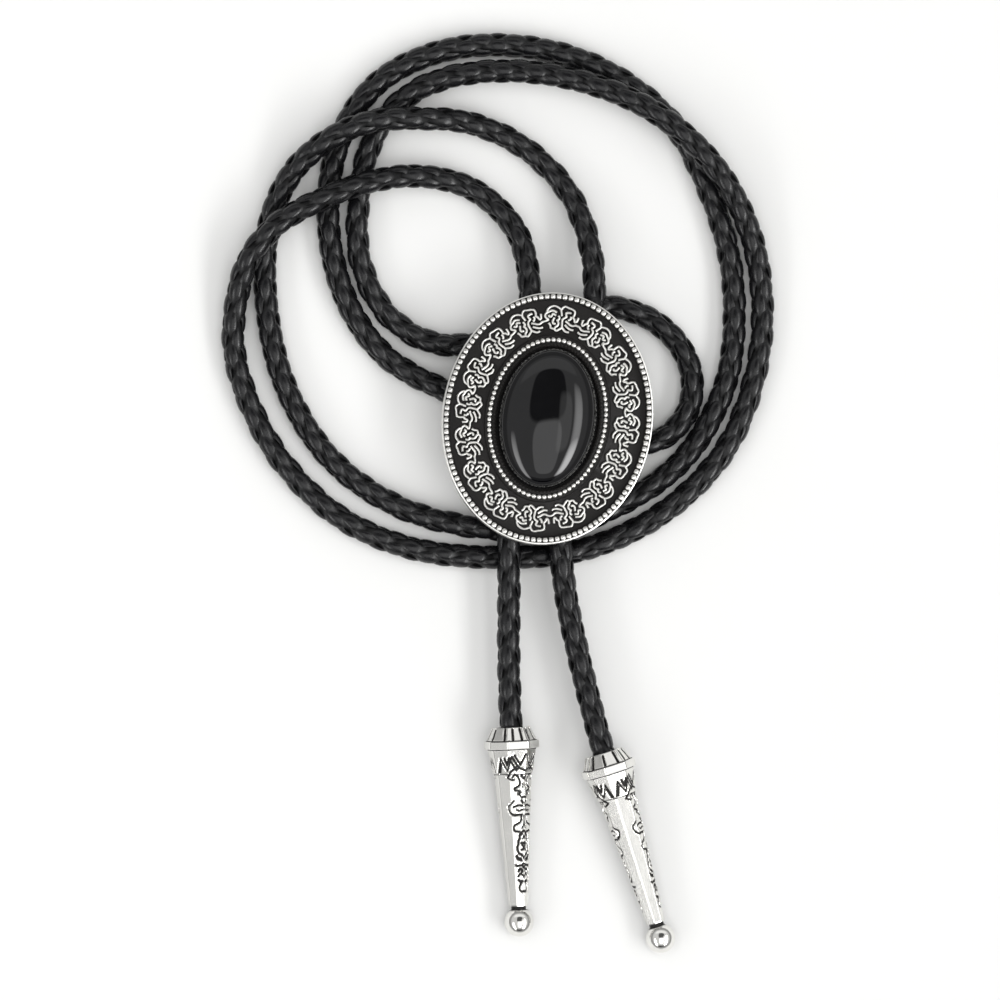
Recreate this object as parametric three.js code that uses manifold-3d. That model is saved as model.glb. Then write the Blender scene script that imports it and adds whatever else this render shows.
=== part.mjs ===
// A bolo tie lying on a table: an oval cast medallion with a domed black stone, the slide behind it,
// one braided leather cord in loose loops, and a cast tip on each end of the cord.
// Millimetres, +Z up. The medallion's centre is the drawing's centre until the last lines.
import * as THREE from 'three';
import { mergeVertices } from 'three/addons/utils/BufferGeometryUtils.js';
import Module from 'manifold-3d';

const wasm = await Module();
wasm.setup();

// The gap between one piece and the next
const gap = 0.3;

// Cord, and the height of its middle where it lies flat
const cordDiameter = 4.1;
const cordHeight = 2.15;
const cordSides = 8;

// Slide: two tubes under a plate
const slideLength = 16;
const slideWall = 0.7;
const slideSpacing = 11.5;
const slidePlateInset = 2.1;
const slideSides = 16;

// Stone
const stoneLength = 27.2;
const stoneWidth = 19;
const girdleHeight = 1.2;
const domeHeight = 4.6;
const stoneSides = 40;

// Medallion, from the stone's edge outwards: bezel, ring of beads, collar, ornament and beaded rim
const medallionTurn = 8.2;
const bezelWidth = 0.8;
const bezelHeight = 0.5;
const ringBeadWidth = 0.85;
const ringBeadHeight = 0.55;
const ringBeadCount = 81;
const collarMargin = 0.45;
const collarHeight = 2.1;
const ornamentInnerMargin = 0.75;
const ornamentOuterMargin = 1.15;
const ornamentRepeats = 16;
const ribWidth = 0.42;
const ribHeight = 0.45;
const fieldWidth = 6.9;
const rimWidth = 1.4;
const rimHeight = 2.5;
const rimBeadWidth = 0.9;
const rimBeadHeight = 0.45;
const rimBeadCount = 117;
const rimBeadInset = 0.55;
const plateThickness = 1.5;
const settingFloor = 1.1;

// Cast tip, measured along its axis from the mouth that takes the cord
const tipSides = 8;
const socketDepth = 2.4;
const flangeRadius = 5.4;
const flangeEnd = 4.1;
const bandEnd = 8.9;
const shaftEnd = 34.5;
const ballRadius = 2.85;
const ballStation = 37.6;
const fluteWidth = 0.3;
const engravedDepth = 0.25;
const engravedWidth = 0.36;

// Where the two tips lie: how far the mouth is to the right of the medallion's middle and below it,
// the lean away from -Y and the roll about the axis
const leftTipAcross = -6.6;
const leftTipDown = 59.1;
const rightTipAcross = 11.3;
const rightTipDown = 63.9;
const tipPlaces = [
  { name: 'tip_left', x: leftTipAcross, y: -leftTipDown, lean: 2.7, roll: -55.5 },
  { name: 'tip_right', x: rightTipAcross, y: -rightTipDown, lean: 17.4, roll: -10.5 },
];

// How far a raised piece is sunk into what carries it, and a cutter reaches past what it cuts
const sunk = 0.15;
const past = 1;

// Heights that follow from the sizes above
const slideBore = cordDiameter + 2 * gap;
const slideAxis = cordHeight + cordDiameter / 2 + gap + slideWall + slideBore / 2;
const slideTop = slideAxis + slideBore / 2 + slideWall;
const medallionBack = slideTop + gap;

// How far each of the medallion's rings lies outside the stone's edge
const bezelOffset = gap + bezelWidth;
const ringBeadOffset = bezelOffset + ringBeadWidth * 0.6;
const collarOffset = ringBeadOffset + ringBeadWidth / 2 + collarMargin;
const fieldOffset = collarOffset + fieldWidth;
const rimOffset = fieldOffset + rimWidth;
const ornamentHalfHeight = (fieldWidth - ornamentInnerMargin - ornamentOuterMargin) / 2;
const ornamentOffset = collarOffset + ornamentInnerMargin + ornamentHalfHeight;

// The cord's middle as it lies, from inside the left tip to inside the right one. Where a point has
// no height of its own, the cord lies flat.
const route = [
  [-6.5, -61, 5.45], [leftTipAcross, -leftTipDown, 5.6], [-7, -46, 5.5], [-7, -33, 5.9], [-7, -24.5, 6.6],
  [-7.3, -16, 7.2], [-7, -8.1, slideAxis], [-4.4, 9.7, slideAxis], [-3.5, 17, 7.3], [-3, 26, 6.3],
  [-5.5, 37, 4], [-13.5, 45, 2.5], [-24, 47.5, 4.2], [-34.5, 46, 6.6], [-43.5, 42.5, 7],
  [-51.5, 38, 6.9], [-57, 31.5, 5.9], [-59.5, 23.5, 3.6], [-60, 14, 2.2], [-57, 3.5], [-50.5, -8],
  [-39.5, -18.5], [-25.5, -24.5], [-8, -26.2], [8, -24.5], [23, -17.5], [35, -5.5], [41, 9],
  [42.5, 23, 2.3], [40, 37, 3.9], [33, 49.5, 6.4], [22, 59.5, 6.8], [9, 65.5, 5.9], [-6, 68, 5],
  [-19.5, 66.5, 4.2], [-28, 62, 2.8], [-33.5, 54], [-36, 42], [-35.5, 31], [-30.5, 21],
  [-22, 15.5], [-11, 15.5], [2, 20], [13, 22.5], [22.5, 19], [28, 12], [28.5, 4], [24.5, -2],
  [17, -4.5], [6, -2.5], [-8, 2.5], [-20, 6.5], [-31, 13], [-38.5, 24], [-41.8, 39], [-39.5, 55],
  [-32, 66], [-19, 72.3], [-3, 73], [12, 68.5], [24.5, 59], [32, 45.5], [36.5, 30], [36.5, 13],
  [33.5, 3], [27.5, -6.5], [19, -13.5], [4, -20], [-12, -20.5], [-28, -16.5], [-41.5, -7],
  [-50.5, 8], [-54, 26], [-53, 39, 2.3], [-48.5, 48.5, 4], [-41.5, 54.5, 6.9], [-33.5, 57.8, 7.3],
  [-24.5, 58.5, 6], [-14.5, 58, 3.4], [-4, 53.5, 2.3], [4.5, 45, 3.2], [8.5, 35, 5.3],
  [9.5, 25, 6.9], [8, 17, 7.35], [7, 8.1, slideAxis], [4.4, -9.7, slideAxis], [3.2, -17, 7.2],
  [3, -24.5, 6.65], [4, -33.5, 5.9], [7, -47.5, 5.5], [rightTipAcross, -rightTipDown, 5.6],
  [11.9, -65.7, 5.45],
];

// One repeat of the flower scroll, charted by hand. Along is a share of the repeat's length, from its
// middle, and across a share of the ornament's half height, from its middle oval outwards.
const scroll = {
  bud: [[-0.43, 0.44], [-0.38, 0.06], [-0.31, 0.32], [-0.29, 0.84], [-0.04, 1], [0.04, 0.76], [0.01, 0.24]],
  stem: [[-0.22, 0.6], [-0.1, 0.52], [-0.12, 0.26], [-0.03, 0], [-0.04, -0.64]],
  vine: [[-0.5, -0.17], [-0.31, -0.32], [-0.12, -0.08]],
  leaf: [[-0.43, -0.6], [-0.265, -0.6], [-0.125, -0.38]],
  lowerPetals: [[-0.31, -0.86], [-0.18, -0.88], [-0.04, -0.64], [0.13, -0.92], [0.31, -0.74], [0.38, -0.32]],
  leftPetal: [[0.09, 0.24], [0.07, 0], [0.08, -0.36], [0.18, -0.68]],
  heart: [[0.21, 0.08], [0.26, -0.24], [0.18, -0.36]],
  rightPetals: [[0.15, 0.48], [0.265, 0.6], [0.4, 0.48], [0.455, 0.2], [0.38, -0.04], [0.5, -0.17]],
  upperPetal: [[0.04, 0.76], [0.16, 0.96], [0.32, 0.88], [0.4, 0.54]],
};

// The way each repeat faces, clockwise from the top: 1 has the bud first, -1 the flower
const scrollFacing = [-1, 1, 1, 1, -1, -1, -1, -1, 1, 1, 1, 1, 1, -1, -1, -1];

// The tip's outline: station along the axis, and the radius out to the corners of its sides
const tipRows = [
  { at: 0, radius: flangeRadius * 0.7 },
  { at: flangeEnd * 0.6, radius: flangeRadius * 0.91 },
  { at: flangeEnd * 0.64, radius: flangeRadius },
  { at: flangeEnd, radius: flangeRadius },
  { at: flangeEnd, radius: flangeRadius * 0.88 },
  { at: bandEnd, radius: flangeRadius * 0.73 },
  { at: bandEnd, radius: flangeRadius * 0.68 },
  { at: shaftEnd, radius: flangeRadius * 0.34 },
  { at: shaftEnd, radius: flangeRadius * 0.26 },
  { at: ballStation - ballRadius * 0.4, radius: flangeRadius * 0.26 },
];
const [coneTop, coneEnd, , , bandTop, bandBottom, shaftTop, shaftBottom] = tipRows;

// The lines cut into the tip's faces, as shares of a face's width and of its length from the top
const bandLines = [[[-0.46, 0.85], [-0.23, 0.3], [0, 0.85], [0.23, 0.3], [0.46, 0.85]]];
const shaftLines = [
  [[0.1, 0.03], [-0.2, 0.15], [0.22, 0.3], [-0.2, 0.48], [0.2, 0.66], [-0.1, 0.84]],
  [[0.1, 0.13], [0.36, 0.18]],
  [[-0.38, 0.3], [-0.08, 0.36]],
  [[0.1, 0.5], [0.36, 0.54]],
];

// The faces by their number round the tip: plain ones with a lined band, and engraved ones
const plainFaces = [7, 0, 3, 4];
const engravedFaces = [1, 2, 5, 6];

// Where the cone's flutes lie across each of the first four faces, as shares of its width. The other
// four repeat them.
const flutesAcross = [[0.25], [-0.25, 0.25], [-0.25, 0.25], [-0.25]];

// A closed geometry as a solid: shared corners merged, and triangles without an area dropped
function solid(geometry) {
  const bare = new THREE.BufferGeometry();
  bare.setAttribute('position', geometry.getAttribute('position'));
  bare.setIndex(geometry.getIndex());
  const merged = mergeVertices(bare, 1e-4);
  const index = merged.getIndex().array;
  const corners = [];
  for (let i = 0; i < index.length; i += 3) {
    const [a, b, c] = index.slice(i, i + 3);
    if (a !== b && b !== c && c !== a) {
      corners.push(a, b, c);
    }
  }
  return new wasm.Manifold(new wasm.Mesh({
    numProp: 3,
    vertProperties: new Float32Array(merged.getAttribute('position').array),
    triVerts: new Uint32Array(corners),
  }));
}

// A solid as a named mesh with a material of its own
function piece(name, shape, look) {
  const mesh = shape.getMesh();
  const geometry = new THREE.BufferGeometry();
  geometry.setAttribute('position', new THREE.BufferAttribute(mesh.vertProperties, 3));
  geometry.setIndex(new THREE.BufferAttribute(mesh.triVerts, 1));
  geometry.computeVertexNormals();
  const result = new THREE.Mesh(geometry, new THREE.MeshStandardMaterial({ ...look, flatShading: true }));
  result.name = name;
  return result;
}

function joined(solids) {
  return solids.reduce((sum, next) => sum.add(next));
}

// The half axes of the oval that lies a distance outside the stone's edge
function oval(offset) {
  return [stoneWidth / 2 + offset, stoneLength / 2 + offset];
}

// An upright oval slab between two heights, with twice as many sides as steps
function slab(offset, bottom, top, steps) {
  const shape = new THREE.Shape().absellipse(0, 0, ...oval(offset), 0, 2 * Math.PI);
  const geometry = new THREE.ExtrudeGeometry(shape, {
    depth: top - bottom, bevelEnabled: false, curveSegments: steps,
  });
  return solid(geometry.translate(0, 0, bottom));
}

// A function that gives the place and the outward normal on an oval, by the share of the way round
// it, clockwise from the top
function ovalWalk(offset) {
  const curve = new THREE.EllipseCurve(0, 0, ...oval(offset), Math.PI / 2, -1.5 * Math.PI, true);
  curve.arcLengthDivisions = 720;
  return (share) => {
    const place = curve.getPointAt(share - Math.floor(share));
    const way = curve.getTangentAt(share - Math.floor(share));
    return { place, normal: new THREE.Vector2(-way.y, way.x) };
  };
}

// Four-sided beads, square on top or pointed, set round an oval
function beads(offset, count, width, topWidth, height, base) {
  const walk = ovalWalk(offset);
  const result = [];
  for (let i = 0; i < count; i += 1) {
    const { place, normal } = walk(i / count);
    const corner = Math.SQRT1_2;
    const bead = new THREE.CylinderGeometry(topWidth * corner, width * corner, height + sunk, 4);
    bead.rotateY(Math.PI / 4).rotateX(Math.PI / 2).rotateZ(Math.atan2(normal.y, normal.x));
    result.push(solid(bead.translate(place.x, place.y, base + (height - sunk) / 2)));
  }
  return joined(result);
}

// The outline of a line drawn with a flat pen: out along its left side and back along its right
function penOutline(points, width) {
  const left = [];
  const right = [];
  points.forEach((point, i) => {
    const before = points[Math.max(i - 1, 0)];
    const after = points[Math.min(i + 1, points.length - 1)];
    const inward = i === 0 ? after.clone().sub(point) : point.clone().sub(before);
    const outward = i === points.length - 1 ? inward.clone() : after.clone().sub(point);
    const way = inward.normalize().add(outward.normalize()).normalize();
    const reach = width / 2 / Math.max(way.dot(outward), 0.6);
    const side = new THREE.Vector2(-way.y, way.x).multiplyScalar(reach);
    left.push(point.clone().add(side));
    right.unshift(point.clone().sub(side));
  });
  return new THREE.Shape([...left, ...right]);
}

function penLine(points, width, bottom, top) {
  const geometry = new THREE.ExtrudeGeometry(penOutline(points, width), {
    depth: top - bottom, bevelEnabled: false,
  });
  return geometry.translate(0, 0, bottom);
}

// The flower scroll, its repeats laid end to end along the ornament's middle oval
function ornament() {
  const walk = ovalWalk(ornamentOffset);
  const result = [];
  for (let repeat = 0; repeat < ornamentRepeats; repeat += 1) {
    const facing = scrollFacing[repeat % scrollFacing.length];
    for (const line of Object.values(scroll)) {
      const points = line.map(([along, across]) => {
        const { place, normal } = walk((repeat + facing * along) / ornamentRepeats);
        return place.clone().addScaledVector(normal, across * ornamentHalfHeight);
      });
      result.push(solid(penLine(points, ribWidth, plateThickness - sunk, plateThickness + ribHeight)));
    }
  }
  return joined(result);
}

// The medallion is one casting: plate, rim, ornament, collar, bezel and beads
function medallion() {
  const rimBeadOffset = fieldOffset + rimBeadInset;
  const bezelTop = collarHeight + bezelHeight;
  return slab(rimOffset, 0, rimHeight, 30)
    .subtract(slab(fieldOffset, plateThickness, rimHeight + past, 30))
    .add(slab(collarOffset, plateThickness - sunk, collarHeight, 20))
    .add(slab(bezelOffset, collarHeight - sunk, bezelTop, 20))
    .subtract(slab(gap, settingFloor, bezelTop + past, 20))
    .add(ornament())
    .add(beads(rimBeadOffset, rimBeadCount, rimBeadWidth, rimBeadWidth * 0.6, rimBeadHeight, rimHeight))
    .add(beads(ringBeadOffset, ringBeadCount, ringBeadWidth, 0, ringBeadHeight, collarHeight));
}

// The stone is a domed oval on a low upright girdle
function stone() {
  const profile = [new THREE.Vector2(0, 0), new THREE.Vector2(1, 0), new THREE.Vector2(1, girdleHeight)];
  const rings = 6;
  for (let ring = 1; ring < rings; ring += 1) {
    const turn = Math.PI / 2 * ring / rings;
    profile.push(new THREE.Vector2(Math.cos(turn), girdleHeight + domeHeight * Math.sin(turn)));
  }
  profile.push(new THREE.Vector2(0, girdleHeight + domeHeight));
  const geometry = new THREE.LatheGeometry(profile, stoneSides).rotateX(Math.PI / 2);
  return solid(geometry.scale(...oval(0), 1));
}

// A round bar along Y in the place of one of the slide's two tubes
function slideBar(side, radius, length) {
  const geometry = new THREE.CylinderGeometry(radius, radius, length, slideSides);
  return solid(geometry.translate(side * slideSpacing / 2, 0, slideAxis));
}

// The slide is one plain piece: a plate over a tube for each end of the cord
function slide() {
  const boreRadius = slideBore / 2 / Math.cos(Math.PI / slideSides);
  const tubeRadius = slideBore / 2 + slideWall;
  const plateWidth = slideSpacing + 2 * (tubeRadius - slidePlateInset);
  const plate = new THREE.BoxGeometry(plateWidth, slideLength, slideWall);
  const sides = [-1, 1];
  return solid(plate.translate(0, 0, slideTop - slideWall / 2))
    .add(joined(sides.map((side) => slideBar(side, tubeRadius, slideLength))))
    .subtract(joined(sides.map((side) => slideBar(side, boreRadius, slideLength + past))));
}

// The cord's path puts a ring of the tube at each point of the route, so tight bends get the most
class CordPath extends THREE.CatmullRomCurve3 {
  getPointAt(share) {
    return this.getPoint(share);
  }

  getTangentAt(share) {
    return this.getTangent(share);
  }
}

function cord() {
  const points = route.map(([x, y, height = cordHeight]) => new THREE.Vector3(x, y, height));
  const section = new THREE.EllipseCurve(0, 0, cordDiameter / 2, cordDiameter / 2).getPoints(cordSides);
  return solid(new THREE.ExtrudeGeometry(new THREE.Shape(section), {
    steps: route.length - 1, extrudePath: new CordPath(points, false, 'centripetal'), bevelEnabled: false,
  }));
}

// One of the tip's faces between two rows: x across it, y along it towards the ball, z outwards
function faceFrame(face, top, bottom) {
  const turn = 2 * Math.PI * (face + 0.5) / tipSides;
  const flat = Math.cos(Math.PI / tipSides);
  const outward = new THREE.Vector3(Math.sin(turn), 0, Math.cos(turn));
  const start = outward.clone().multiplyScalar(top.radius * flat).setY(-top.at);
  const end = outward.clone().multiplyScalar(bottom.radius * flat).setY(-bottom.at);
  const length = start.distanceTo(end);
  const along = end.sub(start).normalize();
  const across = new THREE.Vector3(-outward.z, 0, outward.x);
  const normal = across.clone().cross(along);
  const chord = 2 * Math.sin(Math.PI / tipSides);
  return {
    length,
    width: (share) => chord * THREE.MathUtils.lerp(top.radius, bottom.radius, share),
    place: new THREE.Matrix4().makeBasis(across, along, normal).setPosition(start),
  };
}

// Cutters for lines drawn on one face
function faceLines(lines, face, top, bottom) {
  const { length, width, place } = faceFrame(face, top, bottom);
  return lines.map((line) => {
    const points = line.map(([across, along]) => new THREE.Vector2(across * width(along), along * length));
    return solid(penLine(points, engravedWidth, -engravedDepth, engravedDepth).applyMatrix4(place));
  });
}

// Cutters for the flutes on one face of the tip's cone
function flutes(face) {
  const { length, width, place } = faceFrame(face, coneTop, coneEnd);
  return flutesAcross[face % flutesAcross.length].map((share) => {
    const bar = new THREE.BoxGeometry(fluteWidth, length * 0.84, 2 * engravedDepth);
    return solid(bar.translate(share * width(0.5), length / 2, 0).applyMatrix4(place));
  });
}

// The tip is one casting round its own Y axis, with the mouth at the top and the ball below
function tip() {
  const socketRadius = (cordDiameter / 2 + gap) / Math.cos(Math.PI / tipSides);
  const profile = [[0, -socketDepth], [socketRadius, -socketDepth], [socketRadius, 0]];
  tipRows.forEach(({ at, radius }) => profile.push([radius, -at]));
  profile.push([0, -tipRows[tipRows.length - 1].at]);
  const outline = profile.map(([x, y]) => new THREE.Vector2(x, y)).reverse();
  const ball = new THREE.SphereGeometry(ballRadius, 12, 8).translate(0, -ballStation, 0);
  const cutters = [];
  for (let face = 0; face < tipSides; face += 1) {
    cutters.push(...flutes(face));
  }
  plainFaces.forEach((face) => cutters.push(...faceLines(bandLines, face, bandTop, bandBottom)));
  engravedFaces.forEach((face) => cutters.push(...faceLines(shaftLines, face, shaftTop, shaftBottom)));
  return solid(new THREE.LatheGeometry(outline, tipSides)).add(solid(ball)).subtract(joined(cutters));
}

// A tip lies on its ball and on the flange's corner that is nearest to the table
function layTip(mesh, { x, y, lean, roll }) {
  const cornerStep = 360 / tipSides;
  const fromCorner = THREE.MathUtils.euclideanModulo(roll + cornerStep / 2, cornerStep) - cornerStep / 2;
  const reach = flangeRadius * Math.cos(THREE.MathUtils.degToRad(fromCorner));
  const run = ballStation - flangeEnd;
  const slope = Math.acos(ballRadius / Math.hypot(reach, run)) - Math.atan2(run, reach);
  mesh.position.set(x, y, reach * Math.cos(slope) + flangeEnd * Math.sin(slope));
  mesh.rotation.set(slope, THREE.MathUtils.degToRad(roll), THREE.MathUtils.degToRad(lean), 'ZXY');
}

const medallionMesh = piece('medallion', medallion(), { color: 0xb9b8b4, roughness: 0.3, metalness: 1 });
medallionMesh.position.z = medallionBack;
const stoneMesh = piece('stone', stone(), { color: 0x08080a, roughness: 0.05, metalness: 0 });
stoneMesh.position.z = medallionBack + settingFloor + gap;
const slideMesh = piece('slide_clasp', slide(), { color: 0xb4b4b2, roughness: 0.35, metalness: 1 });

// The medallion, its stone and its slide are turned together
const turned = new THREE.Group();
turned.rotation.z = -THREE.MathUtils.degToRad(medallionTurn);
turned.add(medallionMesh, stoneMesh, slideMesh);

// The origin goes under the middle of the hard pieces, on the table
const boloTie = new THREE.Group();
boloTie.add(turned);
for (const place of tipPlaces) {
  const mesh = piece(place.name, tip(), { color: 0xc9c8c4, roughness: 0.22, metalness: 1 });
  layTip(mesh, place);
  boloTie.add(mesh);
}
const hardPieces = new THREE.Box3().setFromObject(boloTie, true);
const middle = hardPieces.getCenter(new THREE.Vector3());
boloTie.position.set(-middle.x, -middle.y, -hardPieces.min.z);
boloTie.add(piece('cord', cord(), { color: 0x17171a, roughness: 0.45, metalness: 0 }));

export default boloTie;
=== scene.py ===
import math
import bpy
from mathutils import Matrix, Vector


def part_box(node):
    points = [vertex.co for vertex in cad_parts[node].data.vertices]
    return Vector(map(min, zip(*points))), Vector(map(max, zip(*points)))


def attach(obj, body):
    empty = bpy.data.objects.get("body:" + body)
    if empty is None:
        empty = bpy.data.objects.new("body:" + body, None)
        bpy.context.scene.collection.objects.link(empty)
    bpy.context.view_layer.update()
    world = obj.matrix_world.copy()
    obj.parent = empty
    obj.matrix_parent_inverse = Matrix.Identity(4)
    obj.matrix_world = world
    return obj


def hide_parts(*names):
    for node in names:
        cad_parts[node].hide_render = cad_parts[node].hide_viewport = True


bl_info = {
    "name": "Bolo Tie",
    "version": (1, 0, 0),
    "blender": (4, 5, 0),
    "location": "3D View > Sidebar > Bolo Tie",
    "description": "Builds a braided leather bolo tie with a cast medallion, a black stone and cast tips",
    "category": "Object",
}

import bpy
import numpy as np
from bpy.props import FloatProperty, FloatVectorProperty, IntProperty, PointerProperty
from mathutils import Matrix, Vector

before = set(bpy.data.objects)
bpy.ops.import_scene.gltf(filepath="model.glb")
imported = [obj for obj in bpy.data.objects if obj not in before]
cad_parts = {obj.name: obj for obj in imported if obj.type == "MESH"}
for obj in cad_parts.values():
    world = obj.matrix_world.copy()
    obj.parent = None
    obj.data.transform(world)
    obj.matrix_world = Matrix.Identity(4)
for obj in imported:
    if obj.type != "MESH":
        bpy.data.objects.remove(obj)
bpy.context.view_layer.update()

MM = 0.001
TABLE_WIDTH = 6

# The medallion's middle in plan is the stone's, and its heights are counted from its flat back
STONE_LOW, STONE_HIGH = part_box("stone")
MIDDLE = Vector(((STONE_LOW[0] + STONE_HIGH[0]) / 2, (STONE_LOW[1] + STONE_HIGH[1]) / 2, 0))
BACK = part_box("medallion")[0][2]
SLIDE_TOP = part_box("slide_clasp")[1][2]
MEDALLION_TURN = math.radians(-8.2)

# Every ring of the medallion is an oval that lies a distance outside the stone's edge
STONE_HALF_WIDTH = 9.5 * MM
STONE_HALF_LENGTH = 13.6 * MM
GIRDLE_HEIGHT = 1.2 * MM
OVAL_CORNERS = 160
ORNAMENT_OFFSET = 5.75 * MM
FIELD_HEIGHT = 1.5 * MM
RING_BEAD_OFFSET = 1.62 * MM
BEZEL_BEAD_OFFSET = 0.68 * MM
RIM_BEAD_OFFSET = 9.95 * MM

# The cord's middle as it lies, in millimetres round the medallion's middle, from inside the left tip to
# inside the right one. Where a point has no height of its own, the cord lies flat.
CORD_HEIGHT = 2.3
SLIDE_HEIGHT = 7.55
ROUTE = (
    (-6.5, -61, 5.45), (-6.6, -59.1, 5.6), (-7, -46, 5.5), (-7, -33, 5.9), (-7, -24.5, 6.6),
    (-7.3, -16, 7.2), (-7, -8.1, SLIDE_HEIGHT), (-4.4, 9.7, SLIDE_HEIGHT), (-3.5, 17, 7.3),
    (-3, 26, 6.3), (-5.5, 37, 4), (-13.5, 45, 2.5), (-24, 47.5, 4.2), (-34.5, 46, 6.6),
    (-43.5, 42.5, 7), (-51.5, 38, 6.9), (-57, 31.5, 5.9), (-59.5, 23.5, 3.6), (-60, 14, 2.2),
    (-57, 3.5), (-50.5, -8), (-39.5, -18.5), (-25.5, -24.5), (-8, -26.2), (8, -24.5),
    (23, -17.5), (35, -5.5), (41, 9), (42.5, 23, 2.3), (40, 37, 3.9), (33, 49.5, 6.4),
    (22, 59.5, 6.8), (9, 65.5, 5.9), (-6, 68, 5), (-19.5, 66.5, 4.2), (-28, 62, 2.8),
    (-33.5, 54), (-36, 42), (-35.5, 31), (-30.5, 21), (-22, 15.5), (-11, 15.5),
    (2, 20), (13, 22.5), (22.5, 19), (28, 12), (28.5, 4), (24.5, -2), (17, -4.5),
    (6, -2.5), (-8, 2.5), (-20, 6.5), (-31, 13), (-38.5, 24), (-41.8, 39), (-39.5, 55),
    (-32, 66), (-19, 72.3), (-3, 73), (12, 68.5), (24.5, 59), (32, 45.5), (36.5, 30),
    (36.5, 13), (33.5, 3), (27.5, -6.5), (19, -13.5), (4, -20), (-12, -20.5),
    (-28, -16.5), (-41.5, -7), (-50.5, 8), (-54, 26), (-53, 39, 2.3), (-48.5, 48.5, 4),
    (-41.5, 54.5, 6.9), (-33.5, 57.8, 7.3), (-24.5, 58.5, 6), (-14.5, 58, 3.4), (-4, 53.5, 2.3),
    (4.5, 45, 3.2), (8.5, 35, 5.3), (9.5, 25, 6.9), (8, 17, 7.35), (7, 8.1, SLIDE_HEIGHT),
    (4.4, -9.7, SLIDE_HEIGHT), (3.2, -17, 7.2), (3, -24.5, 6.65), (4, -33.5, 5.9),
    (7, -47.5, 5.5), (11.3, -63.9, 5.6), (11.9, -65.7, 5.45),
)

# One repeat of the flower scroll, charted: along the band and outwards from its middle, in millimetres,
# with the bud first and the flower second
SCROLL_REPEAT = 6.8
SCROLL_LINES = (
    ((-2.95, 1.1), (-2.65, 0.05), (-2.3, 0.6), (-2.05, 0.8), (-2.1, 1.5), (-2.0, 2.0), (-1.8, 2.2),
     (-0.9, 2.4), (-0.3, 2.55), (0.0, 2.3), (0.2, 2.0), (0.3, 1.8), (0.2, 1.3), (0.05, 0.6)),
    ((-1.5, 1.5), (-1.0, 1.45), (-0.65, 1.25), (-0.75, 0.8), (-0.85, 0.6), (-0.5, 0.35), (-0.2, 0.0),
     (-0.15, -0.4), (-0.2, -0.9), (-0.3, -1.6)),
    ((-1.6, 0.85), (-1.65, 0.5), (-1.5, 0.2), (-1.2, 0.05)),
    ((-3.4, -0.42), (-2.9, -0.5), (-2.5, -0.75), (-1.9, -0.75), (-1.4, -0.5), (-0.8, -0.2)),
    ((-2.9, -1.5), (-2.3, -1.6), (-1.6, -1.4), (-1.2, -1.2), (-0.85, -0.95)),
    ((-2.1, -2.15), (-1.5, -2.25), (-1.0, -2.1), (-0.6, -1.8), (-0.3, -1.6)),
    ((-0.3, -1.6), (0.1, -1.9), (0.6, -2.2), (1.0, -2.3), (1.4, -2.0), (1.9, -1.9), (2.2, -1.75),
     (2.25, -1.4), (2.3, -1.2), (2.55, -0.8)),
    ((0.6, 0.6), (0.45, 0.1), (0.7, -0.35), (0.55, -0.9), (0.8, -1.4), (1.15, -1.6), (1.35, -1.95)),
    ((0.7, -0.35), (0.95, -0.2)),
    ((1.4, 0.2), (1.6, -0.2), (1.75, -0.6), (1.6, -0.95), (1.4, -1.0), (1.2, -0.9)),
    ((1.1, 0.65), (1.4, 0.8), (1.65, 0.95), (1.85, 0.7), (2.05, 0.38), (2.35, 0.5), (2.45, 0.7)),
    ((1.0, 1.2), (1.4, 1.45), (1.9, 1.55), (2.3, 1.35), (2.7, 1.2), (3.05, 0.9), (3.1, 0.45),
     (2.8, 0.05), (2.6, -0.1), (3.0, -0.35), (3.4, -0.42)),
    ((0.3, 1.9), (0.6, 2.1), (1.1, 2.4), (1.6, 2.45), (2.2, 2.2), (2.6, 1.75), (2.75, 1.35)),
)

# The way each repeat faces, clockwise from the top: 1 has the bud first, -1 the flower
SCROLL_FACING = (-1, 1, 1, 1, -1, -1, -1, -1, 1, 1, 1, 1, 1, -1, -1, -1)

# The medallion's section as rings: distance outside the stone's edge and height over the back, in
# millimetres, and how far the buff has reached, from 0 for black to 1 for bright
MEDALLION_RINGS = (
    (10.5, 0.0, 0.8), (10.72, 0.08, 0.9), (10.79, 0.3, 1.0), (10.79, 2.1, 1.0), (10.74, 2.4, 1.0),
    (10.56, 2.5, 0.8), (10.44, 2.5, 0.1), (9.6, 2.5, 0.0), (9.47, 2.45, 0.3), (9.4, 2.2, 0.1),
    (9.34, 1.62, 0.0), (9.2, 1.5, 0.0), (2.72, 1.5, 0.0), (2.6, 1.6, 0.15), (2.54, 1.95, 0.1),
    (2.46, 2.08, 0.2), (2.34, 2.1, 0.2), (1.14, 2.1, 0.0), (1.1, 2.2, 0.05), (1.08, 2.3, 0.05),
    (1.0, 2.34, 0.0), (0.42, 2.34, 0.0), (0.33, 2.28, 0.0), (0.3, 2.1, 0.0), (0.3, 1.1, 0.0),
)

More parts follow.
